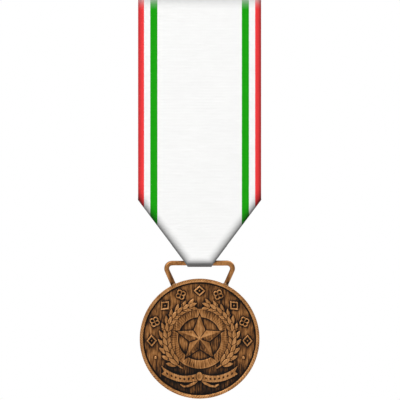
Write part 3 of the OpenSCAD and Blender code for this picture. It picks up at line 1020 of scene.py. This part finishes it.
def brooch_threads(finish):
    """Strands from each sewing hole over both edges of the plate, into the ribbon."""
    shapes = []
    rng = np.random.default_rng(5)
    for x in HOLES_X:
        for strand in (-1, 0, 1):
            for side in (-1, 1):
                lean, near, far = rng.uniform(-0.05, 0.05, 3)
                path = [
                    (x + 0.42 * strand, SEWN_Y, side * 0.27),
                    (x + 0.44 * strand + lean, CROSSING_Y, side * 0.27),
                    (x + 0.40 * strand + near, CROSSING_Y, side * 3.10),
                    (x + 0.44 * strand + far, SEWN_Y, side * 3.12),
                ]
                shapes.append(thread(rounded(path, r=0.22)))
    return sewn("brooch_threads", shapes, finish)


def lying_stitch(x, y, z, length, slope, rng):
    """A stitch on the ribbon's back that dips into the cloth at both ends."""
    t = np.linspace(-1, 1, 13)
    angle = slope + rng.uniform(-0.08, 0.08)
    half = length / 2 * rng.uniform(0.94, 1.0)
    across, up = half * t * math.cos(angle), -half * t * math.sin(angle)
    lift = 0.10 - 0.26 * np.abs(t) ** 5
    return thread(np.c_[x + across, y + lift, z + up])


def overlap_seam(finish):
    """A row of slanting stitches that closes the top fold."""
    rng = np.random.default_rng(7)
    slope = math.radians(35)
    shapes = []
    for i in range(OVERLAP_COUNT):
        x = (i - (OVERLAP_COUNT - 1) / 2) * OVERLAP_PITCH
        shapes.append(lying_stitch(x, OVERLAP_SEAM_Y, OVERLAP_SEAM_Z, OVERLAP_L, slope, rng))
    return sewn("overlap_seam", shapes, finish)


def edge_seams(finish):
    """Level stitches that hold both hems down."""
    rng = np.random.default_rng(11)
    shapes = []
    for i in range(EDGE_COUNT):
        h = EDGE_FROM_H + EDGE_PITCH * i
        for side in (-1, 1):
            x = side * (NECK_HALF + h * SLOPE - EDGE_IN)
            shapes.append(lying_stitch(x, EDGE_SEAM_Y, BAR_Z + h, EDGE_L, 0, rng))
    return sewn("edge_seams", shapes, finish)


# ---------------------------------------------------------------- brooch

SHARP, FULLY_BENT = math.radians(32), 0.5  # an edge that is eased, and a bend rubbed bright


def softened(name, node, finish, width):
    """The node's own shape with its sharp edges eased. It keeps how sharply each point is bent."""
    bm = bmesh.new()
    bm.from_mesh(frame["nodes"][node].data)
    bmesh.ops.remove_doubles(bm, verts=bm.verts, dist=0.002 * MM)
    bmesh.ops.dissolve_limit(bm, angle_limit=math.radians(0.5), verts=bm.verts, edges=bm.edges)
    sharp = [e for e in bm.edges if e.is_manifold and e.calc_face_angle() > SHARP]
    bmesh.ops.bevel(
        bm, geom=sharp, offset=width * MM, offset_type="OFFSET", segments=2, profile=0.6,
        affect="EDGES", clamp_overlap=True,
    )
    bmesh.ops.triangulate(bm, faces=[f for f in bm.faces if len(f.verts) > 4])
    bent = []
    for v in bm.verts:
        turns = [e.calc_face_angle_signed() for e in v.link_edges if e.is_manifold]
        bent.append(min(1.0, max(0.0, max(turns, default=0)) / FULLY_BENT))
    mesh = bpy.data.meshes.new(name)
    bm.to_mesh(mesh)
    bm.free()
    thing = dressed(mesh, finish, edge=bent)
    crisp = thing.modifiers.new("normals", "WEIGHTED_NORMAL")
    crisp.keep_sharp = True
    applied(thing)
    return thing


# ---------------------------------------------------------------- the medal, put together

bronze, wire, joint = struck_bronze(), drawn_bronze(), solder()
silk, card, cotton = ribbon_silk(), buckram(), sewing_thread()
gilt = plated(
    "gilt_brass", deep=(0.36, 0.22, 0.075), main=(0.60, 0.41, 0.16), worn=(0.82, 0.66, 0.38), gloss=0.34
)
polished = plated(
    "steel", deep=(0.34, 0.34, 0.35), main=(0.56, 0.56, 0.57), worn=(0.80, 0.80, 0.81), gloss=0.27
)

fitted(struck_disc(bronze), "medal", "bronze", "medal_disc")
fitted(wire_bail(wire), "medal", "bronze_wire", "suspension_bail")
fitted(solder_fillets(joint), "medal", "solder", "bail_solder")

ribbon, strip_size, strip_area = folded_ribbon(silk)
fitted(ribbon, "ribbon_body", "ribbon_silk", "ribbon")

stiffener = frame["nodes"]["ribbon_stiffener"]
stiffener.data.materials.clear()
stiffener.data.materials.append(card.material)

for name, node, finish, body, slot, width in (
    ("brooch_bar", "brooch_plate", gilt, "ribbon_body", "gilt_brass", 0.12),
    ("brooch_hinge", "hinge_bracket", gilt, "ribbon_body", "gilt_brass", 0.05),
    ("brooch_rivet", "hinge_rivet", polished, "ribbon_body", "steel", 0.08),
    ("brooch_pin", "pin_stem", polished, "pin", "steel", 0.04),
    ("brooch_catch", "catch_housing", gilt, "ribbon_body", "gilt_brass", 0.05),
    ("brooch_lock", "catch_roller", polished, "catch", "steel", 0.05),
):
    fitted(softened(name, node, finish, width), body, slot, node)

fitted(brooch_threads(cotton), "ribbon_body", "thread", "brooch_stitches")
fitted(overlap_seam(cotton), "ribbon_body", "thread", "overlap_stitches")
fitted(edge_seams(cotton), "ribbon_body", "thread", "edge_stitches")


# ---------------------------------------------------------------- stage, light and camera

MIDDLE = (0.00012, RIBBON_Y * MM, -0.056)  # of the view
VIEW_WIDTH, LENS, SENSOR = 0.1204, 200.0, 36.0


def floor(z, reach):
    """A wide floor, low enough for a camera to look up at the medal from above it."""
    corners = [(-reach, -reach, z), (reach, -reach, z), (reach, reach, z), (-reach, reach, z)]
    mesh_object("studio_floor", corners, [[0, 1, 2, 3]], studio_floor())


def soft_light(name, place, size, power):
    """A round lamp aimed at the middle of the view."""
    lamp = bpy.data.lights.new(name, "AREA")
    lamp.shape, lamp.size, lamp.energy = "DISK", size, power
    thing = bpy.data.objects.new(name, lamp)
    bpy.context.scene.collection.objects.link(thing)
    thing.location = place
    thing.rotation_euler = (Vector(MIDDLE) - Vector(place)).to_track_quat("-Z", "Y").to_euler()


def sky_light(strength):
    """Even light from straight above, mostly for the floor."""
    lamp = bpy.data.lights.new("sky_light", "SUN")
    lamp.energy, lamp.angle = strength, math.radians(50)
    bpy.context.scene.collection.objects.link(bpy.data.objects.new("sky_light", lamp))


def studio_world():
    """Plain white behind the medal, and a softer light from above than from below."""
    world = bpy.data.worlds.new("studio_world")
    world.use_nodes = True
    world.node_tree.nodes.clear()
    n = Nodes(world.node_tree)
    height = n.split(n.node("TexCoord", output="Generated"))[2]
    light = n.node(
        "ValToRGB",
        {"stops": [(0.0, (0.42, 0.42, 0.42)), (0.55, (0.62, 0.62, 0.62)), (1.0, (0.95, 0.95, 0.95))]},
        {"Fac": 0.5 + 0.5 * height},
    )
    around = n.node("Background", None, {"Color": light, "Strength": 0.43})
    behind = n.node("Background", None, {"Color": (1, 1, 1, 1), "Strength": 1.0})
    seen = n.node("LightPath", output="Is Camera Ray")
    both = n.node("MixShader", None, {0: seen, 1: around, 2: behind})
    n.node("OutputWorld", None, {"Surface": both})
    bpy.context.scene.world = world


floor(z=-400.0, reach=2700.0)
sky_light(1.9)
studio_world()
soft_light("key_light", (-0.40, -0.80, 0.46), size=0.3, power=2.5)
soft_light("rake_light", (-0.55, -0.40, 0.66), size=0.3, power=5.0)
soft_light("front_light", (0.35, -1.2, 0.05), size=0.8, power=0.6)
soft_light("back_light", (0.6, 0.6, 0.6), size=0.5, power=5.0)

camera = bpy.data.cameras.new("camera")
camera.lens, camera.sensor_width = LENS, SENSOR
eye = bpy.data.objects.new("camera", camera)
bpy.context.scene.collection.objects.link(eye)
eye.location = (MIDDLE[0], MIDDLE[1] - VIEW_WIDTH / SENSOR * LENS, MIDDLE[2])
eye.rotation_euler = (math.pi / 2, 0, 0)
bpy.context.scene.camera = eye
bpy.context.scene.view_settings.view_transform = "Standard"
